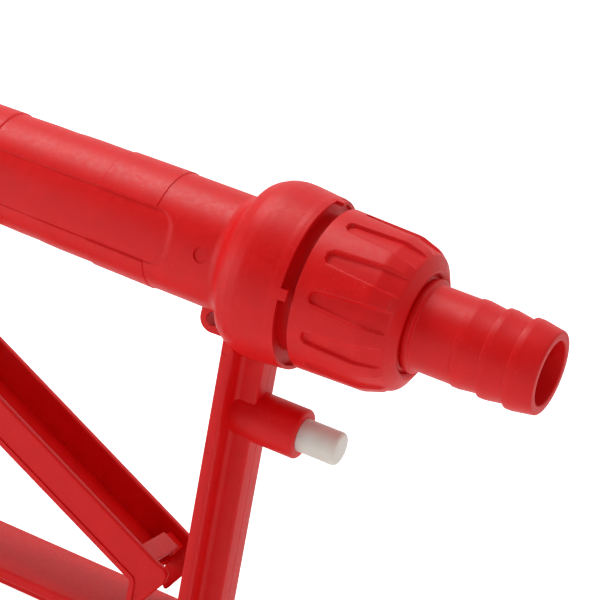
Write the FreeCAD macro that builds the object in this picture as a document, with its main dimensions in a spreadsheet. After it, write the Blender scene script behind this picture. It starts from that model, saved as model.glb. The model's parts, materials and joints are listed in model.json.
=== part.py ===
import FreeCAD, Part
import Sketcher
import math
import os

# Lever-operated hose nozzle in moulded plastic.
# Millimetres. X runs along the barrel, from the mouth of the barbed hose tail towards the spray tip.
# Z is up, the guard and the squeeze lever hang below the barrel, and Y = 0 is the plane of symmetry.

doc = FreeCAD.newDocument("HoseNozzle")
sheet = doc.addObject("Spreadsheet::Sheet", "Sizes")
nodes = {}
rows_used = []


class Size:
    """A length that knows its number and the sheet expression that gives it."""

    def __init__(self, value, text):
        self.value = float(value)
        self.text = text

    def __add__(self, other):
        other = as_size(other)
        return Size(self.value + other.value, f"({self.text} + {other.text})")

    def __sub__(self, other):
        other = as_size(other)
        return Size(self.value - other.value, f"({self.text} - {other.text})")

    def __mul__(self, factor):
        return Size(self.value * factor, f"({self.text} * {factor})")

    def __neg__(self):
        return Size(-self.value, f"(-1 * {self.text})")


def as_size(length):
    if isinstance(length, Size):
        return length
    return Size(length, repr(float(length)))


def size(alias, value):
    """Put a driving dimension in the sheet."""
    cell = f"A{len(rows_used) + 1}"
    rows_used.append(alias)
    sheet.set(cell, str(value))
    sheet.setAlias(cell, alias)
    return Size(value, f"Sizes.{alias}")


# Hose tail
tail_bore = size("tail_bore_radius", 9.4)
tail_end = size("tail_end_radius", 12.1)
shank = size("shank_radius", 12.5)
barb_crest = size("barb_crest_radius", 13.2)
barb_fall = size("barb_crest_fall", 0.17)
barb_pitch = size("barb_pitch", 8.05)
barb_first = size("barb_first_step", 8.4)
barb_flat = size("barb_flat", 1.8)
shank_end = size("shank_end", 36.7)
bore_step = size("tail_bore_step", 37.5)
bead = size("bead_radius", 13.7)
tail_neck = size("tail_neck_radius", 14.3)
tail_flange = size("tail_flange_radius", 19.9)
flange_thick = size("tail_flange_thickness", 3.5)
barb_count = 3

# Union nut
nut_front = size("nut_front", 38.6)
nut_back = size("nut_back", 68.8)
nut_outer = size("nut_outer_radius", 23.6)
nut_shoulder = size("nut_shoulder_radius", 23.0)
nut_nose = size("nut_nose_radius", 20.6)
nut_mouth = size("nut_mouth_radius", 16.0)
lip_back = size("nut_lip_back", 45.4)
flute_floor = size("flute_floor_radius", 21.9)
flute_back = size("flute_back", 64.1)
flute_narrow = size("flute_narrow_width", 2.6)
flute_wide = size("flute_wide_width", 6.2)
flute_count = 12
flute_phase = 11.5

# Fits
running = size("running_clearance", 0.05)
axial_gap = size("axial_gap", 0.2)

# Barrel and collar
thread = size("neck_thread_radius", 20.3)
neck_face = size("neck_face", 51.1)
water_bore = size("water_bore_radius", 10.5)
collar_rim = size("collar_rim", 69.8)
collar_inner = size("collar_inner_radius", 24.1)
collar_outer = size("collar_outer_radius", 25.4)
collar_crest = size("collar_crest_radius", 26.4)
collar_floor = size("collar_floor", 74.0)
crest_at = size("collar_crest_position", 88.6)
root_at = size("collar_root_position", 96.8)
crest_round = size("collar_crest_round", 7.0)
root_round = size("collar_root_round", 5.0)
barrel_rear = size("barrel_rear_radius", 17.4)
barrel_front = size("barrel_front_radius", 16.4)
barrel_end = size("barrel_end", 222.0)
window_edge = size("window_edge", 72.3)
eye_x = size("lanyard_eye_position", 99.9)
eye_drop = size("lanyard_eye_drop", 19.7)
cartridge_bore = size("cartridge_bore_radius", 11.5)
cartridge_start = size("cartridge_start", 164.0)

# Guard
band_width = size("band_width", 28.0)
band_thick = size("band_thickness", 3.4)
rib_width = size("rib_width", 10.8)
rib_deep = size("rib_depth", 6.4)
strut_top = size("strut_top_position", 90.8)
strut_foot = size("strut_foot_position", 86.4)
rail_top = size("rail_depth_below_axis", 115.5)
pillar_foot = size("pillar_foot_position", 201.0)
pillar_top = size("pillar_top_position", 196.5)
guard_corner = size("guard_corner_radius", 6.0)
guard_edge = size("guard_edge_round", 0.8)
boss_radius = size("boss_radius", 7.5)
boss_end = size("boss_end", 66.0)
boss_lip = size("boss_lip", 0.8)
pin_drop = size("pin_depth_below_axis", 44.0)

# Lock pin
pin_radius = size("pin_radius", 5.0)
pin_end = size("pin_end", 53.8)
pin_nose = size("pin_nose_radius", 2.2)

# Lever
lever_width = size("lever_width", 25.0)
lever_inside = size("lever_inside_width", 20.0)
pivot_x = size("pivot_position", 190.5)
pivot_drop = size("pivot_depth_below_axis", 72.0)
pivot_radius = size("pivot_pin_radius", 3.0)
ear_radius = size("lever_ear_radius", 7.5)
lug_radius = size("pivot_lug_radius", 6.0)

# Valve and nozzle
stem_x = size("stem_position", 184.0)
stem_radius = size("stem_radius", 2.0)
foot_radius = size("stem_foot_radius", 3.0)
foot_low = size("stem_foot_depth", 62.5)
carrier_end = size("carrier_end", 200.0)
sleeve_seat = size("sleeve_seat_radius", 12.0)
orifice = size("orifice_radius", 3.5)


def vector(x, y, z):
    return FreeCAD.Vector(x, y, z)


def origin_plane(body, role):
    return [feature for feature in body.Origin.OriginFeatures if feature.Role == role][0]


def profile_sketch(body, name, outline, role="XZ_Plane"):
    """Closed outline in an origin plane, each corner held by sizes from the sheet."""
    sketch = body.newObject("Sketcher::SketchObject", name)
    sketch.AttachmentSupport = [(origin_plane(body, role), "")]
    sketch.MapMode = "FlatFace"
    corners = [(as_size(along), as_size(up)) for along, up in outline]
    count = len(corners)
    for index in range(count):
        start, end = corners[index], corners[(index + 1) % count]
        sketch.addGeometry(Part.LineSegment(vector(start[0].value, start[1].value, 0),
                                            vector(end[0].value, end[1].value, 0)), False)
    for index in range(count):
        sketch.addConstraint(Sketcher.Constraint("Coincident", index, 2, (index + 1) % count, 1))
    for index, corner in enumerate(corners):
        hold_point(sketch, index, corner)
    return sketch


def hold_point(sketch, line, corner):
    """Fix the start of a line at its two sizes; a zero holds the point on an axis."""
    for kind, axis, length in (("DistanceX", -2, corner[0]), ("DistanceY", -1, corner[1])):
        if abs(length.value) < 1e-9:
            sketch.addConstraint(Sketcher.Constraint("PointOnObject", line, 1, axis))
            continue
        index = sketch.addConstraint(Sketcher.Constraint(kind, -1, 1, line, 1, length.value))
        sketch.setExpression(f"Constraints[{index}]", length.text)


def turned(name, outline, upright=False, at=None):
    """Solid of revolution about X, or about Z when upright."""
    body = doc.addObject("PartDesign::Body", name)
    sketch = profile_sketch(body, f"{name}_profile", outline)
    turn = body.newObject("PartDesign::Revolution", f"{name}_turn")
    turn.Profile = sketch
    turn.ReferenceAxis = (sketch, ["V_Axis" if upright else "H_Axis"])
    turn.Angle = 360.0
    body.Tip = turn
    place(body, at)
    return body


def padded(name, outline, width):
    """Side outline padded equally to both sides of the plane of symmetry."""
    body = doc.addObject("PartDesign::Body", name)
    sketch = profile_sketch(body, f"{name}_outline", outline)
    pad = body.newObject("PartDesign::Pad", f"{name}_pad")
    pad.Profile = sketch
    pad.Midplane = True
    pad.Length = width.value
    pad.setExpression("Length", width.text)
    body.Tip = pad
    return body


def place(item, at, turn=None):
    """Put an object at three sizes, turned by a rotation."""
    if turn is not None:
        item.Placement = FreeCAD.Placement(vector(0, 0, 0), turn)
    for letter, length in zip("xyz", at or ()):
        item.setExpression(f"Placement.Base.{letter}", as_size(length).text)


TURNS = {
    "X": FreeCAD.Rotation(FreeCAD.Vector(0, 1, 0), 90),
    "Y": FreeCAD.Rotation(FreeCAD.Vector(1, 0, 0), -90),
    "Z": FreeCAD.Rotation(),
}


def rod(name, axis, radius, length, at):
    """Cylinder that starts at a point and runs along an axis."""
    item = doc.addObject("Part::Cylinder", name)
    item.setExpression("Radius", as_size(radius).text)
    item.setExpression("Height", as_size(length).text)
    place(item, at, TURNS[axis])
    return item


def box(name, lengths, at, turn=None):
    item = doc.addObject("Part::Box", name)
    for side, length in zip(("Length", "Width", "Height"), lengths):
        item.setExpression(side, as_size(length).text)
    place(item, at, turn)
    return item


def doughnut(name, axis, ring, thick, at):
    item = doc.addObject("Part::Torus", name)
    item.setExpression("Radius1", as_size(ring).text)
    item.setExpression("Radius2", as_size(thick).text)
    place(item, at, TURNS[axis])
    return item


def fuse(name, items):
    joined = doc.addObject("Part::MultiFuse", name)
    joined.Shapes = items
    joined.Refine = True
    return joined


def cut(name, base, tools):
    tool = tools[0] if len(tools) == 1 else fuse(f"{name}_tools", tools)
    result = doc.addObject("Part::Cut", name)
    result.Base = base
    result.Tool = tool
    result.Refine = True
    return result


def ring(name, axis, outer, inner, length, at):
    """Plain bush, washer or disc with a hole."""
    hole = rod(f"{name}_hole", axis, inner, length, at)
    return cut(name, rod(f"{name}_outside", axis, outer, length, at), [hole])


def group(name, items):
    """Identical small pieces that share one node."""
    joined = doc.addObject("Part::Compound", name)
    joined.Links = items
    return joined


def node(label, item):
    item.Label = label
    nodes[label] = item
    return item


def round_edge(edge, radius, x):
    """True for a circle about the barrel's axis, of a given radius and position."""
    curve = edge.Curve
    if not isinstance(curve, Part.Circle) or abs(curve.Radius - radius) > 0.02:
        return False
    return abs(curve.Center.x - x) < 0.02 and abs(curve.Center.z) < 0.02


def corner_edge(edge, x, z):
    """True for a straight edge along Y through a point of the side view."""
    if not isinstance(edge.Curve, Part.Line) or abs(edge.Curve.Direction.y) < 0.999:
        return False
    middle = edge.CenterOfMass
    return math.hypot(middle.x - x, middle.z - z) < 0.05


def outline_edge(edge, half_width):
    """True for an edge of the outline on either side face."""
    bounds = edge.BoundBox
    return bounds.YLength < 0.01 and abs(abs(bounds.YMin) - half_width) < 0.01


def make_hose_tail():
    outline = [(0, tail_bore), (0, tail_end - 0.9), (0.9, tail_end)]
    for index in range(barb_count):
        step = barb_first + barb_pitch * index
        crest = barb_crest - barb_fall * index
        root = shank if index == barb_count - 1 else tail_end
        outline += [(step - barb_flat, crest), (step, crest), (step + 0.15, root)]
    bead_start = shank_end + 0.5
    outline += [(shank_end, shank), (bead_start, bead), (bead_start + 1.5, bead),
                (bead_start + 1.9, bead - 0.5),
                (bead_start + 2.6, bead - 0.5), (bead_start + 3.2, tail_neck),
                (lip_back + axial_gap, tail_neck), (lip_back + axial_gap, tail_flange),
                (lip_back + axial_gap + flange_thick, tail_flange),
                (lip_back + axial_gap + flange_thick, tail_bore - 0.4), (bore_step, tail_bore - 0.4),
                (bore_step, tail_bore)]
    node("hose_tail", turned("HoseTail", outline))
    washer_start = lip_back + axial_gap + flange_thick
    node("tail_washer", ring("TailWasher", "X", tail_flange - 0.4, water_bore + 1.0,
                             neck_face - washer_start, (washer_start, 0, 0)))


def flute_prisms():
    """Tapered flute outlines pushed outwards from the axis, one for each flute."""
    half_narrow = flute_narrow.value / 2
    half_wide = flute_wide.value / 2
    back = flute_back.value - half_narrow
    front = nut_front.value - 2
    start, end = vector(back, half_narrow, 0), vector(back, -half_narrow, 0)
    tip = vector(back + half_narrow, 0, 0)
    edges = [Part.Arc(start, tip, end).toShape(),
             Part.makeLine(end, vector(front, -half_wide, 0)),
             Part.makeLine(vector(front, -half_wide, 0), vector(front, half_wide, 0)),
             Part.makeLine(vector(front, half_wide, 0), start)]
    prism = Part.Face(Part.Wire(edges)).extrude(vector(0, 0, nut_outer.value + 3))
    turned_prisms = []
    for index in range(flute_count):
        copy = prism.copy()
        angle = 90 - flute_phase - index * 360 / flute_count
        copy.rotate(vector(0, 0, 0), vector(1, 0, 0), -angle)
        turned_prisms.append(copy)
    item = doc.addObject("Part::Feature", "FlutePrisms")
    item.Shape = Part.makeCompound(turned_prisms)
    return item


def make_union_nut():
    shoulder = lip_back + 2.9
    blank = turned("NutBlank", [
        (nut_back, nut_outer - 0.5), (nut_back - 0.5, nut_outer), (shoulder, nut_shoulder),
        (nut_front + 3.0, nut_nose), (nut_front + 1.8, nut_nose - 1.2), (nut_front, nut_mouth),
        (nut_front + 1.6, nut_mouth - 0.6), (nut_front + 2.0, tail_neck + running),
        (lip_back, tail_neck + running), (lip_back, thread + running), (nut_back, thread + running)])
    floor = turned("FluteFloor", [
        (nut_front - 4, 0), (nut_front - 4, flute_floor - 5.2), (lip_back - 0.4, flute_floor),
        (nut_back + 2, flute_floor + 0.5), (nut_back + 2, 0)])
    flutes = cut("Flutes", flute_prisms(), [floor])
    node("union_nut", cut("UnionNut", blank, [flutes]))


def make_barrel():
    body = turned("BarrelBlank", [
        (collar_rim, collar_inner), (collar_rim, collar_outer - 0.9), (collar_rim + 0.9, collar_outer),
        (crest_at, collar_crest), (root_at, barrel_rear), (barrel_end - 1.0, barrel_front),
        (barrel_end, barrel_front - 1.0), (barrel_end, cartridge_bore), (cartridge_start, cartridge_bore),
        (cartridge_start, water_bore), (neck_face, water_bore), (neck_face, thread - 0.8),
        (neck_face + 0.8, thread), (collar_floor, thread), (collar_floor, collar_inner)])
    soften(body, "CrestRound", crest_round, lambda edge: round_edge(edge, collar_crest.value, crest_at.value))
    soften(body, "RootRound", root_round, lambda edge: round_edge(edge, barrel_rear.value, root_at.value))
    boss = rod("StemBoss", "Z", 7.0, 10.0, (stem_x, 0, -24))
    boss_core = rod("StemBossCore", "X", cartridge_bore, 30, (stem_x - 15, 0, 0))
    return body, cut("StemBossTrimmed", boss, [boss_core])


def soften(body, name, radius, wanted):
    """Fillet the edges of a body's tip that a test picks out."""
    doc.recompute()
    base = body.Tip
    chosen = [f"Edge{number}" for number, edge in enumerate(base.Shape.Edges, 1) if wanted(edge)]
    if not chosen:
        raise RuntimeError(f"{name} finds no edge")
    fillet = body.newObject("PartDesign::Fillet", name)
    fillet.Base = (base, chosen)
    fillet.Radius = radius.value
    fillet.setExpression("Radius", radius.text)
    body.Tip = fillet
    doc.recompute()


def window_tool():
    """Ring sector that opens the collar's rim over the union nut, from below to past the top."""
    deep = window_edge - collar_rim + 1.0
    band = ring("WindowRing", "X", collar_crest + 3, thread + 1.5, deep, (collar_rim - 1.0, 0, 0))
    hood = doc.addObject("Part::Wedge", "WindowHood")
    hood.Xmin, hood.Xmax = 0, 12
    hood.X2min, hood.X2max = 0, 12
    hood.Ymin, hood.Ymax = 0, 40
    hood.Zmin, hood.Zmax = 0, 0.1
    hood.Z2min, hood.Z2max = 0, 6
    upright = FreeCAD.Rotation(vector(1, 0, 0), 90)
    hood.Placement = FreeCAD.Placement(vector(collar_rim.value - 3, 0, 0), upright)
    tab = box("WindowTab", (deep + 2, 6, 2.6), (collar_rim - 0.2, 22.6, 4.6))
    return cut("Window", band, [hood, tab])


def guard_band(name, width, inner, outer):
    """Strut, rail and pillar in one side outline; the two depths are measured from the loop's face."""
    top = -12.0
    faces = [(inner, "Inner"), (outer, "Outer")]
    near = [(strut_top - inner, top), (strut_foot - inner, -(rail_top + inner)),
            (pillar_foot + inner, -(rail_top + inner)), (pillar_top + inner, top)]
    far = [(pillar_top + outer, top), (pillar_foot + outer, -(rail_top + outer)),
           (strut_foot - outer, -(rail_top + outer)), (strut_top - outer, top)]
    body = padded(name, near + far, width)
    for (depth, side), corners in zip(faces, (near[1:3], far[1:3])):
        spots = [(along.value, up.value) for along, up in corners]
        soften(body, f"{name}{side}Corners", guard_corner + depth,
               lambda edge: any(corner_edge(edge, x, z) for x, z in spots))
    soften(body, f"{name}Edges", guard_edge, lambda edge: outline_edge(edge, width.value / 2))
    return body


def make_guard(barrel_solid):
    band = guard_band("GuardBand", band_width, as_size(0), band_thick)
    rib = guard_band("GuardRib", rib_width, band_thick - 1.0, band_thick + rib_deep)
    boss = turned("PinBoss", [
        (boss_end, 0), (boss_end, boss_radius - boss_lip), (boss_end + boss_lip, boss_radius),
        (strut_top - band_thick, boss_radius), (strut_top - band_thick, 0)], at=(0, 0, -pin_drop))
    mouth = (boss_radius.value, boss_end.value + boss_lip.value)
    soften(boss, "PinBossRound", boss_lip, lambda edge: round_edge(edge, *mouth))
    lug = rod("PivotLug", "Y", lug_radius, 18, (pivot_x, -9, -pivot_drop))
    web = box("PivotWeb", (10, 18, 12), (pivot_x, -9, -(pivot_drop + 6)))
    joined = fuse("GuardBlank", [band, rib, boss, lug, web])
    tools = [
        rod("PinBore", "X", pin_radius + running, 18.6, (boss_end - 0.1, 0, -pin_drop)),
        rod("NoseBore", "X", pin_nose + running, 30, (boss_end, 0, -pin_drop)),
        rod("PivotBore", "Y", pivot_radius, 30, (pivot_x, -15, -pivot_drop)),
        barrel_solid,
        rod("BarrelCore", "X", barrel_front - 0.5, 230, (40, 0, 0)),
    ]
    return cut("Guard", joined, tools)


def make_eye(barrel_solid):
    lug = rod("EyeLug", "Y", 4.3, 7.0, (eye_x, -3.5, -eye_drop))
    root = box("EyeRoot", (eye_x - 91.2, 7.0, 8.4), (91.2, -3.5, -23.5))
    hole = rod("EyeHole", "Y", 2.1, 9.0, (eye_x, -4.5, -eye_drop))
    core = rod("EyeCore", "X", barrel_front - 0.5, 60, (80, 0, 0))
    return cut("Eye", fuse("EyeBlank", [lug, root]), [hole, barrel_solid, core])


RIM_SLOPE = 0.477
RIM_AT_ZERO = -140.3
BASE_SLOPE = 0.469
BASE_AT_ZERO = -151.9
WEB = 2.65


def rim(x):
    return (x, RIM_AT_ZERO + RIM_SLOPE * x)


def base_line(x, lift=0.0):
    return (x, BASE_AT_ZERO + BASE_SLOPE * x + lift)


def make_lever():
    side = padded("LeverSide", [
        base_line(104.4), (104.0, -111.4), (102.6, -113.2), (98.4, -106.8), (93.4, -99.6), (92.8, -96.8),
        (94.2, -94.9), rim(97.1), rim(181), (187, -60.0), (192, -64.7), (190.5, -79.4),
        base_line(177)], lever_width)
    ears = rod("LeverEars", "Y", ear_radius, lever_width, (pivot_x, lever_width * -0.5, -pivot_drop))
    channel = padded("LeverChannel", [
        base_line(99, WEB), base_line(187, WEB), base_line(187, -30), (215, -110), (215, -40), (90, -60),
        (80, -113), (96.5, -112)], lever_inside)
    bore = rod("LeverBore", "Y", pivot_radius + running, 30, (pivot_x, -15, -pivot_drop))
    relief = rod("LugRelief", "Y", lug_radius + 0.8, lever_inside,
                 (pivot_x, lever_inside * -0.5, -pivot_drop))
    hollow = cut("LeverHollow", fuse("LeverBlank", [side, ears]), [channel, relief, bore])
    slope = FreeCAD.Rotation(vector(0, 1, 0), -math.degrees(math.atan(RIM_SLOPE)))
    high = box("CatchHigh", (6.2, 13.5, 2.3), (98.4, -3.2, -95.9), slope)
    low = box("CatchLow", (6.2, 7.5, 2.0), (98.9, -10.3, -98.6), slope)
    step = box("CatchStep", (6.2, 2.0, 4.6), (98.9, -4.8, -98.6), slope)
    return fuse("Lever", [hollow, high, low, step])


def coil(name, radius, wire, length, turns, at, axis):
    """Helical spring of round wire, its ends inside its length."""
    helix = Part.makeHelix((length - wire) / turns, length - wire, radius)
    section = Part.Wire([Part.makeCircle(wire / 2, vector(radius, 0, 0), vector(0, 1, 0))])
    spring = Part.Wire(helix.Edges).makePipeShell([section], True, True)
    item = doc.addObject("Part::Feature", name)
    item.Shape = spring
    item.Placement = FreeCAD.Placement(vector(*at), TURNS[axis])
    return item


def make_lock_pin():
    head = turned("LockPin", [
        (pin_end, 0), (pin_end, pin_radius - 0.8), (pin_end + 0.8, pin_radius), (pin_end + 17, pin_radius),
        (pin_end + 17, 4.0), (pin_end + 4, 4.0), (pin_end + 4, pin_nose),
        (92.6, pin_nose), (93.2, pin_nose - 0.6),
        (93.2, 0)], at=(0, 0, -pin_drop))
    node("lock_pin", head)
    start = pin_end.value + 4.1
    length = boss_end.value + 18.5 - 0.1 - start
    node("lock_pin_spring", coil("LockPinSpring", 3.2, 0.7, length, 9,
                                 (start + 0.35, 0, -pin_drop.value), "X"))
    clip_at = strut_top.value - 1.1
    node("lock_pin_clip", ring("LockPinClip", "X", 2.9, pin_nose, 0.8, (clip_at, 0, -pin_drop)))


def make_pivot():
    node("lever_pivot_pin", rod("LeverPivotPin", "Y", pivot_radius, 29, (pivot_x, -14.5, -pivot_drop)))
    clips = [ring(f"PivotClip{index}", "Y", 5.2, pivot_radius, 0.8, (pivot_x, start, -pivot_drop))
             for index, start in enumerate((-13.8, 13.0))]
    node("pivot_clips", group("PivotClips", clips))
    washers = [ring(f"PivotWasher{index}", "Y", 5.5, pivot_radius, 0.8, (pivot_x, start, -pivot_drop))
               for index, start in enumerate((-9.85, 9.05))]
    node("pivot_washers", group("PivotWashers", washers))


def make_disc_spring():
    """Coned disc spring that closes the valve, from the poppet up to the cap."""
    inner, outer, low, high, thick = 2.6, 5.4, 3.95, 8.1, 0.5
    return turned("PoppetSpring", [(inner, low), (inner + thick, low), (outer, high), (outer - thick, high)],
                  upright=True, at=(stem_x, 0, 0))


def make_valve():
    carrier_long = carrier_end - cartridge_start
    blank = rod("CarrierBlank", "X", cartridge_bore - 0.03, carrier_long, (cartridge_start, 0, 0))
    grooves = [ring(f"CarrierGroove{index}", "X", cartridge_bore + 1, cartridge_bore - 1.4, 2.4, (start, 0, 0))
               for index, start in enumerate((167.0, 194.0))]
    tools = grooves + [
        rod("CarrierInlet", "X", 4.0, 20, (cartridge_start, 0, 4.6)),
        rod("CarrierChamber", "Z", 6.5, 14, (stem_x, 0, 0.5)),
        rod("CarrierOutletChamber", "Z", 4.0, 9, (stem_x, 0, -8.0)),
        rod("CarrierOutlet", "X", 3.8, 20, (stem_x, 0, -4.0)),
        rod("CarrierStemBore", "Z", stem_radius + 0.4, 8, (stem_x, 0, -13.0)),
    ]
    node("valve_carrier", cut("ValveCarrier", blank, tools))
    rings = [doughnut(f"CarrierRing{index}", "X", cartridge_bore - 0.72, 0.68, (start, 0, 0))
             for index, start in enumerate((168.2, 195.2))]
    node("carrier_o_rings", group("CarrierORings", rings))
    node("valve_seat", ring("ValveSeat", "Z", 6.45, 3.6, 1.2, (stem_x, 0, 0.5)))
    node("poppet_seal", ring("PoppetSeal", "Z", 5.2, 2.6, 0.5, (stem_x, 0, 1.7)))
    poppet = turned("ValvePoppet", [(0, 1.0), (2.6, 1.0), (2.6, 2.2), (5.4, 2.2), (5.4, 3.4), (2.2, 3.9), (0, 3.9)],
                    upright=True, at=(stem_x, 0, 0))
    node("valve_poppet", poppet)
    node("poppet_spring", make_disc_spring())
    node("spring_cap", rod("SpringCap", "Z", 6.4, 1.1, (stem_x, 0, 8.15)))
    stem_low = foot_low - 3.0
    node("valve_stem", rod("ValveStem", "Z", stem_radius, stem_low + 1.0, (stem_x, 0, -stem_low)))
    dome = doc.addObject("Part::Sphere", "StemFootDome")
    dome.setExpression("Radius", foot_radius.text)
    place(dome, (stem_x, 0, -(foot_low - 3.0)))
    skirt = rod("StemFootSkirt", "Z", foot_radius, 3.0, (stem_x, 0, -(foot_low - 3.0)))
    socket = rod("StemFootSocket", "Z", stem_radius, 5.0, (stem_x, 0, -(foot_low - 3.0)))
    node("stem_foot", cut("StemFoot", fuse("StemFootBlank", [dome, skirt]), [socket]))
    gland = turned("StemGland", [
        (stem_radius + running, -27.0), (5.6, -27.0), (6.4, -26.2), (6.4, -24.0), (4.5, -24.0),
        (4.5, -19.6), (stem_radius + running, -19.6)], upright=True, at=(stem_x, 0, 0))
    node("stem_gland", gland)
    seals = [doughnut(f"StemSeal{index}", "Z", 3.03, 0.95, (stem_x, 0, level))
             for index, level in enumerate((-18.6, -16.6))]
    node("stem_seals", group("StemSeals", seals))


def make_flow_parts():
    rim_ring = ring("StrainerRim", "X", water_bore - 0.05, 8.6, 1.6, (53.0, 0, 0))
    cone = turned("StrainerCone", [(54.6, 8.6), (54.6, 9.8), (68.0, 3.2), (69.0, 0), (68.0, 0), (67.2, 2.4)])
    slots = [box(f"StrainerSlot{index}", (9.0, 24.0, 1.1), (56.5, -12.0, level))
             for index, level in enumerate((-7.15, -4.75, -2.35, 0.05, 2.45, 4.85))]
    node("inlet_strainer", cut("InletStrainer", fuse("StrainerBlank", [rim_ring, cone]), slots))
    shell = ring("StraightenerShell", "X", water_bore - 0.05, 9.3, 22, (118, 0, 0))
    vanes = [box("StraightenerVane0", (22, 19.0, 1.0), (118, -9.5, -0.5)),
             box("StraightenerVane1", (22, 1.0, 19.0), (118, -0.5, -9.5))]
    node("flow_straightener", fuse("FlowStraightener", [shell] + vanes))


def make_nozzle():
    adapter = turned("NozzleAdapter", [
        (carrier_end, 8.0), (carrier_end, cartridge_bore - 0.5), (carrier_end + 0.5, cartridge_bore - 0.03),
        (208.0, cartridge_bore - 0.03), (208.0, cartridge_bore - 1.4), (210.4, cartridge_bore - 1.4),
        (210.4, cartridge_bore - 0.03), (barrel_end, cartridge_bore - 0.03), (barrel_end, barrel_front - 1.0),
        (223.0, barrel_front), (226.0, barrel_front), (227.0, barrel_front - 1.0), (227.0, sleeve_seat),
        (234.0, sleeve_seat), (234.0, sleeve_seat - 1.4), (236.4, sleeve_seat - 1.4), (236.4, sleeve_seat),
        (240.6, sleeve_seat), (240.6, sleeve_seat - 1.2), (241.8, sleeve_seat - 1.2), (241.8, sleeve_seat),
        (246.0, sleeve_seat), (246.0, 8.0)])
    node("nozzle_adapter", adapter)
    node("adapter_o_ring", doughnut("AdapterORing", "X", cartridge_bore - 0.72, 0.68, (209.2, 0, 0)))
    node("sleeve_o_ring", doughnut("SleeveORing", "X", sleeve_seat - 0.7, 0.68, (235.2, 0, 0)))
    node("sleeve_ring", ring("SleeveRing", "X", sleeve_seat + 1.3, sleeve_seat - 1.15, 1.0, (240.7, 0, 0)))
    tip = turned("NozzleTip", [
        (246.0, 6.0), (246.0, 9.6), (249.0, 9.6), (268.0, orifice + 2.4), (271.0, orifice + 2.4),
        (271.0, orifice + 0.6), (268.0, orifice), (262.0, orifice), (249.0, 6.0)])
    node("nozzle_tip", tip)
    hub = rod("SwirlHub", "X", 2.0, 12, (230, 0, 0))
    vanes = [box("SwirlVane0", (10, 15.9, 0.9), (231, -7.95, -0.45)),
             box("SwirlVane1", (10, 0.9, 15.9), (231, -0.45, -7.95))]
    node("swirl_insert", fuse("SwirlInsert", [hub] + vanes))
    sleeve = turned("SleeveBlank", [
        (227.3, sleeve_seat + running), (227.3, 15.6), (228.3, 16.6), (246.0, 16.6), (250.0, 14.6),
        (266.0, 12.4),
        (268.0, 11.6), (268.0, 8.2), (264.0, 8.2), (251.0, sleeve_seat - 1.0), (246.2, sleeve_seat + running),
        (242.2, sleeve_seat + running), (242.2, sleeve_seat + 1.4), (240.2, sleeve_seat + 1.4),
        (240.2, sleeve_seat + running)])
    scoops = []
    for index in range(12):
        angle = math.radians(30 * index)
        scoops.append(rod(f"SleeveScoop{index}", "X", 2.2, 16,
                          (229.5, 18.0 * math.cos(angle), 18.0 * math.sin(angle))))
    node("spray_sleeve", cut("SpraySleeve", sleeve, scoops))
    bumper = turned("TipBumper", [(268.0, 8.2), (268.0, 11.4), (269.0, 12.4), (272.6, 12.4), (274.0, 11.0),
                                  (274.0, 8.6), (273.6, 8.2)])
    node("tip_bumper", bumper)


make_hose_tail()
make_union_nut()
barrel_blank, stem_boss = make_barrel()
barrel_tools = [window_tool(),
                rod("StemHole", "Z", stem_radius + 2.0, 16, (stem_x, 0, -20)),
                rod("GlandHole", "Z", 4.5, 8, (stem_x, 0, -24.5))]
barrel = cut("Barrel", fuse("BarrelWithBoss", [barrel_blank, stem_boss]), barrel_tools)
node("barrel_body", barrel)
node("hand_guard", make_guard(barrel))
node("lanyard_eye", make_eye(barrel))
node("lever", make_lever())
make_lock_pin()
make_pivot()
make_valve()
make_flow_parts()
make_nozzle()

doc.recompute()
faults = [item.Name for item in doc.Objects if "Invalid" in item.State or "Error" in item.State]
if faults:
    raise RuntimeError("failed objects: " + ", ".join(faults))
os.makedirs("parts", exist_ok=True)
for label, item in nodes.items():
    shape = item.Shape
    if shape.isNull() or not shape.isValid() or shape.Volume <= 0:
        raise RuntimeError(f"{label} has no valid shape")
    shape.exportStep(f"parts/{label}.step")
    print(label, len(shape.Solids), round(shape.Volume, 1))
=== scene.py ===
"""Looks of a hand-held lever hose nozzle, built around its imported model."""
import json
import math

import bmesh
import bpy
from mathutils import Matrix, Vector


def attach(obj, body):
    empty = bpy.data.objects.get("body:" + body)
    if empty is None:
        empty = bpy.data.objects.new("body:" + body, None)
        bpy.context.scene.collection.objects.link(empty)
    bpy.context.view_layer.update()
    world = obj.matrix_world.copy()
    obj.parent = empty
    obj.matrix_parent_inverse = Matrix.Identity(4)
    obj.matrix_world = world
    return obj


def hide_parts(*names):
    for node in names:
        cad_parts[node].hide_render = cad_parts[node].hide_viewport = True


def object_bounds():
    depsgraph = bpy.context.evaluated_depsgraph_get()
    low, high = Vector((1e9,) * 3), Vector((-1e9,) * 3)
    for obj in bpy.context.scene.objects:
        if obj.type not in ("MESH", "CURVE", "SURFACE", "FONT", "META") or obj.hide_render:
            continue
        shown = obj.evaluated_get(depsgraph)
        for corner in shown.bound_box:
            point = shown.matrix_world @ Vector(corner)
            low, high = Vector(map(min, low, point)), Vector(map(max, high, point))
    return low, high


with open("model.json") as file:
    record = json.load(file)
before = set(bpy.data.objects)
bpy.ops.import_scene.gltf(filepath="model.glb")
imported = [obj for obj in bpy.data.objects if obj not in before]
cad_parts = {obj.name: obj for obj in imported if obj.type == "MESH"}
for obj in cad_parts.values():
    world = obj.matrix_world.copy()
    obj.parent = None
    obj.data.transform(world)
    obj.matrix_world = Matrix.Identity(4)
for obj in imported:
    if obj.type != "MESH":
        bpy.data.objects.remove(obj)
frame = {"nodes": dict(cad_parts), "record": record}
cad_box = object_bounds()
MM = 0.001


# ---------- camera, floor and light ----------

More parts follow.
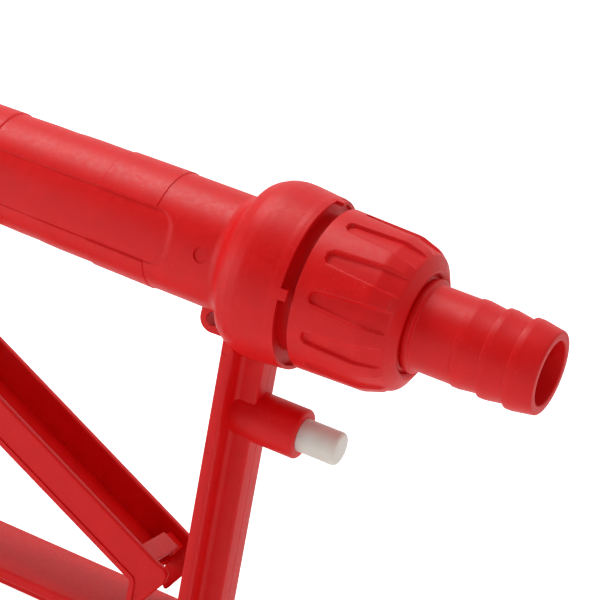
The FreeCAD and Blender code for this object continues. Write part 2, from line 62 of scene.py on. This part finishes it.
def make_camera():
    azimuth, elevation, roll = (math.radians(a) for a in (203.006, 19.377, 13.008))
    aim = Vector((0.074631, 0.004179, -0.004458))
    distance = 0.73815
    back = Vector((math.sin(azimuth) * math.cos(elevation), -math.cos(azimuth) * math.cos(elevation),
                   math.sin(elevation)))
    level = Vector((math.cos(azimuth), math.sin(azimuth), 0))
    upright = back.cross(level)
    right = math.cos(roll) * level + math.sin(roll) * upright
    up = math.cos(roll) * upright - math.sin(roll) * level
    data = bpy.data.cameras.new("Camera")
    data.lens, data.sensor_width = 158.68, 36
    data.clip_start, data.clip_end = 0.01, 50
    camera = bpy.data.objects.new("Camera", data)
    bpy.context.scene.collection.objects.link(camera)
    turn = Matrix((right, up, back)).transposed().to_4x4()
    camera.matrix_world = Matrix.Translation(aim + back * distance) @ turn
    bpy.context.scene.camera = camera


def make_light(name, at, target, size, watts):
    data = bpy.data.lights.new(name, "AREA")
    data.shape, data.size, data.energy = "DISK", size, watts
    lamp = bpy.data.objects.new(name, data)
    bpy.context.scene.collection.objects.link(lamp)
    lamp.location = at
    lamp.rotation_euler = (Vector(target) - Vector(at)).to_track_quat("-Z", "Y").to_euler()


def white_to_camera(tree, strength, lighting):
    """The plain studio white is full strength in view and dimmer as a light."""
    path = tree.nodes.new("ShaderNodeLightPath")
    level = tree.nodes.new("ShaderNodeMapRange")
    level.inputs["To Min"].default_value = lighting
    level.inputs["To Max"].default_value = 1.0
    tree.links.new(path.outputs["Is Camera Ray"], level.inputs["Value"])
    tree.links.new(level.outputs["Result"], strength)
    return level.inputs["To Min"]


def make_stage():
    scene = bpy.context.scene
    scene.view_settings.view_transform = "Standard"
    world = bpy.data.worlds.new("World")
    world.use_nodes = True
    world.node_tree.nodes["Background"].inputs[0].default_value = (1, 1, 1, 1)
    lighting = white_to_camera(world.node_tree, world.node_tree.nodes["Background"].inputs[1], 0.4)
    direction = world.node_tree.nodes.new("ShaderNodeTexCoord")
    across = world.node_tree.nodes.new("ShaderNodeSeparateXYZ")
    backdrop = world.node_tree.nodes.new("ShaderNodeMapRange")
    for key, value in zip(("From Min", "From Max", "To Min", "To Max"), (-1, 1, 0.85, 0.10)):
        backdrop.inputs[key].default_value = value
    world.node_tree.links.new(direction.outputs["Generated"], across.inputs[0])
    world.node_tree.links.new(across.outputs["Y"], backdrop.inputs["Value"])
    world.node_tree.links.new(backdrop.outputs["Result"], lighting)
    scene.world = world
    mesh = bpy.data.meshes.new("floor")
    half, level = 6.0, cad_box[0].z - 0.0005
    corners = [(-half, -half, level), (half, -half, level), (half, half, level), (-half, half, level)]
    mesh.from_pydata(corners, [], [(0, 1, 2, 3)])
    floor = bpy.data.objects.new("floor", mesh)
    scene.collection.objects.link(floor)
    pale = bpy.data.materials.new("pale_floor")
    pale.use_nodes = True
    shader = pale.node_tree.nodes["Principled BSDF"]
    shader.inputs["Base Color"].default_value = (0.6, 0.6, 0.6, 1)
    shader.inputs["Roughness"].default_value = 0.9
    shader.inputs["Emission Color"].default_value = (1, 1, 1, 1)
    white_to_camera(pale.node_tree, shader.inputs["Emission Strength"], 0.4)
    mesh.materials.append(pale)
    centre = (0.09, 0, -0.03)
    make_light("key", (0.45, -0.05, 0.70), centre, 0.45, 3.8)
    make_light("fill", (0.75, 0.45, 0.02), centre, 0.5, 1.5)
    make_light("rear", (-0.35, 0.55, 0.15), centre, 0.4, 0.6)


# ---------- materials ----------

def linear(red, green, blue):
    """Linear colour of an 8-bit display colour."""
    def one(value):
        value /= 255
        return value / 12.92 if value <= 0.04045 else ((value + 0.055) / 1.055) ** 2.4
    return one(red), one(green), one(blue), 1.0


def finish_of(name, dark, light, rough, grain=2400, bump=0.12, mottle=160, metal=0.0, scatter=0.0, speck=None,
              gloss=0.5):
    """Solid material with mottled colour, uneven gloss and a moulded or turned grain."""
    made = bpy.data.materials.new(name)
    made.use_nodes = True
    tree = made.node_tree
    shader = tree.nodes["Principled BSDF"]
    shader.inputs["Metallic"].default_value = metal
    shader.inputs["Specular IOR Level"].default_value = gloss
    if scatter:
        shader.inputs["Subsurface Weight"].default_value = scatter
        shader.inputs["Subsurface Scale"].default_value = 0.002
        shader.inputs["Subsurface Radius"].default_value = (1.0, 0.8, 0.6)
    place = tree.nodes.new("ShaderNodeTexCoord")

    def noise(scale, detail=3.0):
        node = tree.nodes.new("ShaderNodeTexNoise")
        node.inputs["Scale"].default_value = scale
        node.inputs["Detail"].default_value = detail
        tree.links.new(place.outputs["Object"], node.inputs["Vector"])
        return node

    def span(source, low, high, out_low, out_high):
        node = tree.nodes.new("ShaderNodeMapRange")
        for key, value in zip(("From Min", "From Max", "To Min", "To Max"), (low, high, out_low, out_high)):
            node.inputs[key].default_value = value
        tree.links.new(source, node.inputs["Value"])
        return node.outputs["Result"]

    def mix(factor, first, second):
        node = tree.nodes.new("ShaderNodeMix")
        node.data_type = "RGBA"
        tree.links.new(factor, node.inputs["Factor"])
        for key, value in ((6, first), (7, second)):
            if isinstance(value, tuple):
                node.inputs[key].default_value = value
            else:
                tree.links.new(value, node.inputs[key])
        return node.outputs[2]

    colour = mix(span(noise(mottle).outputs[0], 0.3, 0.7, 0, 1), dark, light)
    if speck:
        colour = mix(span(noise(grain * 0.6, 1.0).outputs[0], 0.70, 0.76, 0, 0.5), colour, speck)
    tree.links.new(colour, shader.inputs["Base Color"])
    tree.links.new(span(noise(mottle * 4).outputs[0], 0.3, 0.7, rough - 0.05, rough + 0.06),
                   shader.inputs["Roughness"])
    relief = tree.nodes.new("ShaderNodeBump")
    relief.inputs["Strength"].default_value = bump
    relief.inputs["Distance"].default_value = 0.0001
    tree.links.new(noise(grain).outputs[0], relief.inputs["Height"])
    tree.links.new(relief.outputs["Normal"], shader.inputs["Normal"])
    return made


RED = finish_of("red_plastic", (0.69, 0.001, 0.002, 1), (0.75, 0.002, 0.003, 1), 0.44, bump=0.18,
                speck=(0.85, 0.045, 0.035, 1), gloss=0.30)
finishes = {
    "red_moulding": RED,
    "white_acetal": finish_of("white_plastic", linear(222, 216, 206), linear(232, 227, 219), 0.42,
                              scatter=0.5),
    "spring_steel": finish_of("spring_steel", (0.45, 0.45, 0.47, 1), (0.6, 0.6, 0.62, 1), 0.3, metal=1.0),
    "stainless": finish_of("stainless", (0.52, 0.52, 0.53, 1), (0.66, 0.66, 0.67, 1), 0.28, metal=1.0),
    "brass": finish_of("brass", (0.62, 0.42, 0.16, 1), (0.78, 0.57, 0.25, 1), 0.3, metal=1.0),
    "black_acetal": finish_of("black_plastic", (0.018, 0.018, 0.018, 1), (0.03, 0.03, 0.03, 1), 0.45),
    "seal_rubber": finish_of("seal_rubber", (0.012, 0.012, 0.012, 1), (0.02, 0.02, 0.02, 1), 0.55),
    "bumper_rubber": finish_of("bumper_rubber", (0.02, 0.02, 0.021, 1), (0.034, 0.034, 0.036, 1), 0.7,
                               bump=0.3),
    "mesh_steel": finish_of("strainer_steel", (0.45, 0.45, 0.45, 1), (0.62, 0.62, 0.62, 1), 0.35, metal=1.0),
}


# ---------- mesh building, in millimetres ----------

def rounded(corners, closed=True, steps=5, longest=None):
    """Corners (a, b, radius) as an outline with arcs, its long runs cut into shorter ones."""
    points = []
    count = len(corners)
    for index, (a, b, radius) in enumerate(corners):
        here = Vector((a, b))
        if radius <= 0 or (not closed and index in (0, count - 1)):
            points.append(here)
            continue
        to_last = Vector(corners[index - 1][:2]) - here
        to_next = Vector(corners[(index + 1) % count][:2]) - here
        half = to_last.angle(to_next) / 2
        if half > math.pi / 2 - 0.01:
            points.append(here)
            continue
        reach = min(radius / math.tan(half), 0.48 * to_last.length, 0.48 * to_next.length)
        radius = reach * math.tan(half)
        centre = here + (to_last.normalized() + to_next.normalized()).normalized() * radius / math.sin(half)
        first = here + to_last.normalized() * reach - centre
        last = here + to_next.normalized() * reach - centre
        turn = math.atan2(first.x * last.y - first.y * last.x, first.dot(last))
        for step in range(steps + 1):
            angle = turn * step / steps
            points.append(centre + Vector((first.x * math.cos(angle) - first.y * math.sin(angle),
                                           first.x * math.sin(angle) + first.y * math.cos(angle))))
    if longest is None:
        return [tuple(point) for point in points]
    fine = []
    last = count if closed else count - 1
    pairs = list(zip(points, points[1:] + points[:1])) if closed else list(zip(points, points[1:]))
    for start, end in pairs:
        limit = longest(start, end) if callable(longest) else longest
        cuts = max(1, math.ceil((end - start).length / limit))
        fine += [tuple(start.lerp(end, cut / cuts)) for cut in range(cuts)]
    if not closed:
        fine.append(tuple(points[-1]))
    return fine


def mesh_object(name, verts, faces):
    mesh = bpy.data.meshes.new(name)
    mesh.from_pydata([tuple(c * MM for c in v) for v in verts], [], faces)
    build = bmesh.new()
    build.from_mesh(mesh)
    bmesh.ops.remove_doubles(build, verts=build.verts, dist=1e-7)
    bmesh.ops.recalc_face_normals(build, faces=build.faces)
    build.to_mesh(mesh)
    build.free()
    made = bpy.data.objects.new(name, mesh)
    bpy.context.scene.collection.objects.link(made)
    return made


def revolve(name, outline, columns, place=None, centre=(0, 0)):
    """Closed outline (x, r) turned about X; place moves a point of a column to its own x, r and angle."""
    verts = []
    for column in columns:
        for x, r in outline:
            x, r, angle = place(x, r, column) if place else (x, r, column)
            verts.append((x, centre[0] + r * math.cos(angle), centre[1] + r * math.sin(angle)))
    n, m = len(outline), len(columns)
    faces = [(j * n + i, j * n + (i + 1) % n, (j + 1) % m * n + (i + 1) % n, (j + 1) % m * n + i)
             for j in range(m) for i in range(n)]
    return mesh_object(name, verts, faces)


def whole_turn(count):
    return [2 * math.pi * index / count for index in range(count)]


def prism(name, outline, low, high, bevel=0.0, axes=None):
    """Outline (a, b) pushed from low to high along its normal; by default in x, z and pushed in y."""
    axes = axes or (lambda a, b, c: (a, c, b))
    n = len(outline)
    verts = [axes(a, b, low) for a, b in outline] + [axes(a, b, high) for a, b in outline]
    faces = [tuple(range(n)), tuple(range(2 * n - 1, n - 1, -1))]
    faces += [(i, (i + 1) % n, n + (i + 1) % n, n + i) for i in range(n)]
    made = mesh_object(name, verts, faces)
    if bevel:
        build = bmesh.new()
        build.from_mesh(made.data)
        caps = sorted(build.faces, key=lambda face: -len(face.verts))[:2]
        edges = list({edge for cap in caps for edge in cap.edges})
        bmesh.ops.bevel(build, geom=edges, offset=bevel * MM, segments=3, profile=0.5, affect="EDGES")
        build.to_mesh(made.data)
        build.free()
    return made


def combine(base, tool, operation):
    """Boolean of two meshes, applied, with the tool removed."""
    modifier = base.modifiers.new("combine", "BOOLEAN")
    modifier.operation, modifier.object, modifier.solver = operation, tool, "EXACT"
    bpy.context.view_layer.update()
    result = bpy.data.meshes.new_from_object(base.evaluated_get(bpy.context.evaluated_depsgraph_get()))
    base.modifiers.clear()
    old, base.data = base.data, result
    bpy.data.meshes.remove(old)
    bpy.data.objects.remove(tool)


def cylinder(name, axis, radius, start, end, at, count=64):
    ring = [(radius * math.cos(a), radius * math.sin(a)) for a in whole_turn(count)]
    if axis == "X":
        return prism(name, ring, start, end, axes=lambda a, b, c: (c, at[0] + a, at[1] + b))
    if axis == "Y":
        return prism(name, ring, start, end, axes=lambda a, b, c: (at[0] + a, c, at[1] + b))
    return prism(name, ring, start, end, axes=lambda a, b, c: (at[0] + a, at[1] + b, c))


def settle(made, body, slot, *nodes, sharp=32):
    """Shade a finished piece, give it its material and let it stand for its CAD nodes."""
    mesh = made.data
    mesh.materials.clear()
    mesh.materials.append(finishes[slot])
    for face in mesh.polygons:
        face.use_smooth = True
        face.material_index = 0
    mesh.set_sharp_from_angle(angle=math.radians(sharp))
    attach(made, body)
    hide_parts(*nodes)


# ---------- hose tail ----------

def make_hose_tail():
    corners = [(0, 9.4, 0.5), (0, 12.1, 0.8)]
    for index in range(3):
        step = 8.4 + 8.05 * index
        crest = 13.2 - 0.17 * index
        root = 12.5 if index == 2 else 12.1
        corners += [(step - 1.8, crest, 2.0), (step, crest, 0.15), (step + 0.15, root, 0.3)]
    corners += [(36.7, 12.5, 0.5), (37.2, 13.7, 0.35), (38.7, 13.7, 0.35), (39.1, 13.2, 0.1),
                (39.8, 13.2, 0.1), (40.4, 14.3, 0.1), (45.6, 14.3, 0), (45.6, 19.9, 0.3), (49.1, 19.9, 0.3),
                (49.1, 9.0, 0),
                (37.5, 9.0, 0.1), (37.5, 9.4, 0.1)]
    tail = revolve("hose_tail_body", rounded(corners), whole_turn(144))
    settle(tail, "hose_tail", "red_moulding", "hose_tail")


# ---------- union nut ----------

FLUTES, FLUTE_PHASE = 12, 11.5
FLUTE_END, FLUTE_TIP_RADIUS = 64.4, 1.55
CONE_START, CONE_FLOOR = 48.3, 21.96
WALL_REACH, NUT_MEAN_RADIUS = 0.55, 22


def flute_half_width(x):
    into = FLUTE_END - x
    if into <= 0:
        return 0.2
    if into < FLUTE_TIP_RADIUS:
        return max(0.2, math.sqrt(FLUTE_TIP_RADIUS ** 2 - (FLUTE_TIP_RADIUS - into) ** 2))
    return FLUTE_TIP_RADIUS + (into - FLUTE_TIP_RADIUS) * 0.079


def flute_floor(x):
    """Radius of the flutes' floor, which follows the cone behind the side."""
    if x < CONE_START:
        return CONE_FLOOR - (CONE_START - x) * 0.27
    return CONE_FLOOR + (x - CONE_START) * 0.0194


def make_union_nut():
    outer = rounded([(68.8, 22.9, 0), (68.8, 23.6, 0.45), (48.3, 23.0, 7), (42.6, 21.2, 4), (40.7, 19.7, 1.6),
                     (38.6, 16.0, 0.5), (38.9, 15.2, 0.3), (39.5, 14.6, 0.2), (40.6, 14.35, 0)],
                    closed=False, longest=0.5)
    inner = [(45.4, 14.35), (45.4, 20.35), (68.2, 20.35), (68.8, 20.9)]
    wall = [(0.0, 0, 1), (0.4, 0, 1), (0.75, 0, 1), (1, -0.05, 0.97), (1, 0.12, 0.80), (1, 0.26, 0.42),
            (1, 0.40, 0.10), (1, WALL_REACH, 0.0)]
    columns = []
    for flute in range(FLUTES):
        centre = math.radians(FLUTE_PHASE + flute * 360 / FLUTES)
        columns += [(centre, -1, item) for item in reversed(wall[1:])]
        columns += [(centre, 1, item) for item in wall]
        columns += [(centre, 1, ("land", step / 12, 0)) for step in range(1, 12)]
    pitch = 2 * math.pi / FLUTES

    def place(x, r, column):
        centre, side, item = column
        half = flute_half_width(x)
        edge = (half + WALL_REACH) / NUT_MEAN_RADIUS
        if item[0] == "land":
            return x, r, centre + edge + (pitch - 2 * edge) * item[1]
        part, beyond, deep = item
        angle = centre + side * max(0.0, part * half + beyond) / NUT_MEAN_RADIUS
        if r > 15 and 40 < x < FLUTE_END + 0.2:
            end = min(1.0, max(0.0, (FLUTE_END + 0.1 - x) / 0.5))
            drop = max(0.0, r - flute_floor(x)) if r > 19.2 else 0.0
            r -= drop * deep * end
        return x, r, angle

    nut = revolve("union_nut_body", outer + inner, columns, place)
    settle(nut, "union_nut", "red_moulding", "union_nut", sharp=38)


# ---------- collar and barrel ----------

PANEL_LOW, PANEL_HIGH = -20.5, 35.0
GRIP_RADIUS, PAD_START, PANEL_CORNER = 17.3, 119.3, 6.0
PAD_HEIGHT = [(0, 0.0), (119.15, 0.0), (119.35, 0.32), (138.4, 0.34), (138.8, 0.02), (151, 0.12),
              (156.5, 0.02), (158.0, -0.12), (165.5, 0.0), (176.4, -0.08), (176.9, 0.34), (187, 0.25),
              (200, 0.2), (208, 0.0)]


def along(table, value):
    """Straight-line reading of a table of pairs."""
    for (low, first), (high, second) in zip(table, table[1:]):
        if value <= high:
            share = min(1.0, max(0.0, (value - low) / (high - low)))
            return first + (second - first) * share
    return table[-1][1]


def ramp(value, low, high):
    share = min(1.0, max(0.0, (value - low) / (high - low)))
    return share * share * (3 - 2 * share)


def panel_end():
    """The side panel's rear end as (degrees, x): a slightly slanted line between two rounded corners."""
    low, high = (math.radians(side) * GRIP_RADIUS for side in (PANEL_LOW, PANEL_HIGH))
    forward = PAD_START + 2 * PANEL_CORNER
    corners = [(low, forward, 0), (low, 112.0, PANEL_CORNER), (high, 112.4, PANEL_CORNER), (high, forward, 0)]
    line = rounded(corners, closed=False, steps=12)[1:-1]
    return [(math.degrees(around / GRIP_RADIUS), x) for around, x in line]


PANEL_END = panel_end()


def grip_relief(x, degrees):
    """Height of the grip's pads and side panels above the plain barrel."""
    side = math.degrees(math.asin(math.sin(math.radians(degrees))))
    inside = ramp(side, PANEL_LOW - 0.7, PANEL_LOW + 0.7)
    inside *= 1 - ramp(side, PANEL_HIGH - 0.7, PANEL_HIGH + 0.7)
    end = along(PANEL_END, side)
    panel = -0.32 * ramp(x, end - 0.25, end + 0.45) * (1 - ramp(x, 205, 207))
    pad = along(PAD_HEIGHT, x)
    return pad * (1 - inside) + panel * inside


def rim_at(degrees):
    """Where the collar's rim stands: a lip just past the top, then the far side, a tab and the window."""
    degrees %= 360
    if 90.6 < degrees < 97:
        return 70.2
    if 97 < degrees < 190:
        return 72.9
    if 3 < degrees < 10.5:
        return 69.9
    return 72.3


def make_barrel():
    collar = [(67.0, 24.9, 0), (67.0, 25.2, 0.5), (75.5, 25.5, 9), (78.5, 25.8, 9), (82, 26.1, 9),
              (85, 26.2, 9), (88.1, 25.6, 5), (90.8, 24.3, 3), (92.1, 23.3, 0.8), (92.9, 21.8, 2),
              (94.5, 19.7, 3), (95.7, 18.3, 3), (97.6, 17.4, 4), (119.3, 17.3, 0), (139, 17.05, 0),
              (158, 16.8, 0), (177, 16.45, 0), (221.2, 16.2, 0)]

    def run(start, end):
        middle = (start.x + end.x) / 2
        if 111 < middle < 121:
            return 0.3
        if middle > 121:
            return 1.2
        return 0.8

    outer = rounded(collar, closed=False, longest=run)
    marks = [119.15, 119.35] + [x + shift for x in (138.6, 176.65) for shift in (-0.2, 0.2)] + [205, 207, 208]
    for mark in marks:
        spot = next(i for i, point in enumerate(outer) if point[0] > mark)
        before, after = outer[spot - 1], outer[spot]
        share = (mark - before[0]) / (after[0] - before[0])
        outer.insert(spot, (mark, before[1] + (after[1] - before[1]) * share))
    inner = [(222, 15.4), (222, 11.5), (164, 11.5), (164, 10.5), (51.1, 10.5), (51.1, 19.5), (51.9, 20.3),
             (60, 20.3), (67, 20.3), (74, 20.3), (74, 24.1), (72, 24.1), (70, 24.1), (67.4, 24.1), (67, 24.5)]
    outline = outer + inner
    degrees = {float(d) for d in range(0, 360, 3)}
    for edge in (PANEL_LOW, PANEL_HIGH):
        for shift in (-1.4, -0.7, -0.35, 0, 0.35, 0.7, 1.4):
            degrees |= {(edge + shift) % 360, (180 - edge - shift) % 360}
    degrees |= {(d + 0.5) % 360 for d in range(-21, 36)} | {(180 - d - 0.5) % 360 for d in range(-21, 36)}
    for edge in (3, 10.5, 90.6, 97, 190):
        degrees |= {edge - 0.15, edge + 0.15}
    kept = []
    for value in sorted(degrees):
        if not kept or value - kept[-1] > 0.12:
            kept.append(value)

    def place(x, r, value):
        if x <= 74.0 and r > 22:
            x = 74.0 - (74.0 - x) * (74.0 - rim_at(value)) / 7.0
        elif x > 97.6 and r > 15.5:
            r += grip_relief(x, value)
        return x, r, math.radians(value)

    barrel = revolve("barrel_moulding", outline, kept, place)
    for side in (1, -1):
        at = Matrix.Rotation(math.radians(side * 7.5), 3, "X") @ Vector((0, side * 16.85, 0))
        pit = cylinder("pit", "Y", 2.3, 0 if side > 0 else -8, 8 if side > 0 else 0, (0, 0), 48)
        pit.data.transform(Matrix.Rotation(math.radians(side * 7.5), 4, "X"))
        pit.data.transform(Matrix.Translation((101.5 * MM, at.y * MM, at.z * MM)))
        combine(barrel, pit, "DIFFERENCE")
    boss = cylinder("boss", "Z", 7.0, -24, -12.5, (184, 0))
    combine(barrel, boss, "UNION")
    for radius, low, high in ((4.0, -20, -4), (4.5, -24.5, -16.5)):
        combine(barrel, cylinder("hole", "Z", radius, low, high, (184, 0)), "DIFFERENCE")
    settle(barrel, "body", "red_moulding", "barrel_body", sharp=35)


# ---------- guard ----------

def make_guard():
    corner = 6.0
    path = [(91.2, -12), (86.4, -115.5), (201.0, -115.5), (196.5, -12)]
    turns = rounded([(x, z, corner) for x, z in path], closed=False, steps=14, longest=9)
    stations = []
    for index, point in enumerate(turns):
        before = Vector(turns[max(0, index - 1)])
        after = Vector(turns[min(len(turns) - 1, index + 1)])
        run = (after - before).normalized()
        stations.append((Vector(point), Vector((run.y, -run.x))))
    half = [(0, 14, 0.8), (3.5, 14, 0.9), (3.5, 11.6, 0.5), (3.1, 11.2, 0.4), (3.1, 5.4, 1.6),
            (9.8, 5.4, 0.9)]
    section = [(o, y, r) for o, y, r in half] + [(9.8, 0.16, 0), (9.66, 0, 0), (9.8, -0.16, 0)]
    section += [(o, -y, r) for o, y, r in reversed(half)]
    ring = rounded(section, steps=4)
    verts = []
    for point, out in stations:
        for offset, y in ring:
            verts.append((point.x + out.x * offset, y, point.y + out.y * offset))
    n, m = len(ring), len(stations)
    faces = [(j * n + i, j * n + (i + 1) % n, (j + 1) * n + (i + 1) % n, (j + 1) * n + i)
             for j in range(m - 1) for i in range(n)]
    faces += [tuple(range(n)), tuple(range((m - 1) * n, m * n))]
    guard = mesh_object("guard_moulding", verts, faces)
    drop = -44
    tube = rounded([(66, 7.5, 0.9), (88, 7.5, 0), (88, 2.0, 0), (66, 2.0, 0)])
    boss = revolve("boss", tube, whole_turn(96), centre=(0, drop))
    combine(guard, boss, "UNION")
    lug = cylinder("lug", "Y", 6.0, -9, 9, (190.5, -72))
    combine(guard, lug, "UNION")
    web = prism("web", [(190.5, -78), (200.6, -78), (200.6, -66), (190.5, -66)], -8.99, 8.99)
    combine(guard, web, "UNION")
    for height in (-22.0, -52.0):
        spot = 91.2 + (height + 12) * 4.8 / 103.5 - 1.9
        combine(guard, cylinder("mark", "Y", 2.4, 13.85, 16, (spot, height)), "DIFFERENCE")
    for name, axis, radius, start, end, at in (
            ("pin_bore", "X", 5.05, 60, 84.5, (0, drop)), ("nose_bore", "X", 2.25, 60, 96, (0, drop)),
            ("pivot_bore", "Y", 3.0, -15, 15, (190.5, -72)), ("core", "X", 15.9, 60, 230, (0, 0))):
        combine(guard, cylinder(name, axis, radius, start, end, at), "DIFFERENCE")
    settle(guard, "body", "red_moulding", "hand_guard")


EYE = (99.9, -19.7)


def make_eye():
    arc = [(EYE[0] + 4.3 * math.cos(a), EYE[1] + 4.3 * math.sin(a))
           for a in (math.radians(d) for d in range(0, -91, -9))]
    outline = [(104.2, -15.5)] + arc + [(95.5, -23.9), (91.2, -23.4), (91.2, -15.5)]
    eye = prism("lanyard_lug", outline, -3.5, 3.5, bevel=0.5)
    combine(eye, cylinder("hole", "Y", 2.15, -6, 6, EYE, 48), "DIFFERENCE")
    settle(eye, "body", "red_moulding", "lanyard_eye")


# ---------- lever ----------

PIVOT = (190.5, -72.0)


def rim(x):
    return x, -140.3 + 0.477 * x


def base_line(x, lift=0.0):
    return x, -151.9 + 0.469 * x + lift


def flange(name, side):
    ear = [(PIVOT[0] + 7.5 * math.cos(math.radians(d)), PIVOT[1] + 7.5 * math.sin(math.radians(d)))
           for d in range(75, -96, -15)]
    corners = [(*base_line(104.4), 1.0), (104.0, -111.4, 0.6), (102.6, -113.2, 1.0), (98.4, -106.8, 3),
               (93.4, -99.6, 2), (92.8, -96.8, 1.5), (94.2, -94.9, 1.2), (*rim(97.1), 1.5), (*rim(181), 8),
               (187, -60.0, 3)]
    corners += [(x, z, 0) for x, z in ear] + [(*base_line(177), 6)]
    edge = rounded(corners, steps=4)
    low, high = (10.0, 12.1) if side > 0 else (-12.1, -10.0)
    made = prism(name, edge, low, high, bevel=0.55)
    pocket = moved_in(rounded(corners, steps=4, longest=0.5), 1.9)
    low, high = (11.65, 13.0) if side > 0 else (-13.0, -11.65)
    combine(made, prism("pocket", pocket, low, high), "DIFFERENCE")
    return made


def moved_in(points, reach):
    """Outline moved inwards, without the points that a tight corner would fold over."""
    points = [Vector(point) for point in points]
    area = sum(a.x * b.y - b.x * a.y for a, b in zip(points, points[1:] + points[:1]))
    kept = []
    for index, here in enumerate(points):
        run = (points[(index + 1) % len(points)] - points[index - 1]).normalized()
        spot = here + Vector((-run.y, run.x)) * (reach if area > 0 else -reach)
        if min((spot - other).length for other in points) > reach - 0.06:
            if not kept or (spot - kept[-1]).length > 0.15:
                kept.append(spot)
    return [tuple(spot) for spot in kept]


def make_lever():
    lever = flange("lever_moulding", 1)
    combine(lever, flange("far", -1), "UNION")
    floor = [base_line(103.2), base_line(187), base_line(187, 2.65), base_line(102.2, 2.65)]
    web = prism("web", floor, -11, 11)
    combine(lever, web, "UNION")
    back = prism("back", [(103.1, -103.8), (104.5, -103.1), (104.5, -94.4), (103.1, -94.9)], -10.6, 10.6)
    combine(lever, back, "UNION")
    slope = math.atan(0.477)
    bar = rounded([(10.6, 0, 0), (-3.4, 0, 2.4), (-3.4, -2.9, 0.5), (-10.6, -2.9, 0), (-10.6, -5.0, 0),
                   (-2.75, -5.0, 0.3), (-2.75, -2.4, 0.3), (10.6, -2.4, 0)])
    start = Vector((97.3, -93.9))
    run, up = Vector((math.cos(slope), math.sin(slope))), Vector((-math.sin(slope), math.cos(slope)))

    def axes(y, height, length):
        spot = start + run * length + up * height
        return spot.x, y, spot.y

    combine(lever, prism("catch", bar, 0.5, 6.7, bevel=0.3, axes=axes), "UNION")
    for name, radius, half in (("relief", 6.8, 10.0), ("bore", 3.05, 15)):
        combine(lever, cylinder(name, "Y", radius, -half, half, PIVOT), "DIFFERENCE")
    settle(lever, "lever", "red_moulding", "lever", sharp=34)


# ---------- lock pin ----------

def make_lock_pin():
    outline = rounded([(53.8, 0.01, 0), (53.8, 5.0, 1.1), (70.8, 5.0, 0), (70.8, 4.0, 0), (57.8, 4.0, 0.2),
                       (57.8, 2.2, 0), (92.6, 2.2, 0), (93.2, 1.6, 0), (93.2, 0.01, 0)])
    pin = revolve("push_pin", outline, whole_turn(96), centre=(0, -44))
    settle(pin, "lock_pin", "white_acetal", "lock_pin")


# ---------- assembly ----------

make_camera()
make_stage()
for entry in frame["record"]["subparts"]:
    carried = frame["nodes"][entry["node"]]
    if not carried.material_slots:
        carried.data.materials.append(None)
    for place_for in carried.material_slots:
        place_for.material = finishes[entry["material_slot"]]
make_hose_tail()
make_union_nut()
make_barrel()
make_guard()
make_eye()
make_lever()
make_lock_pin()
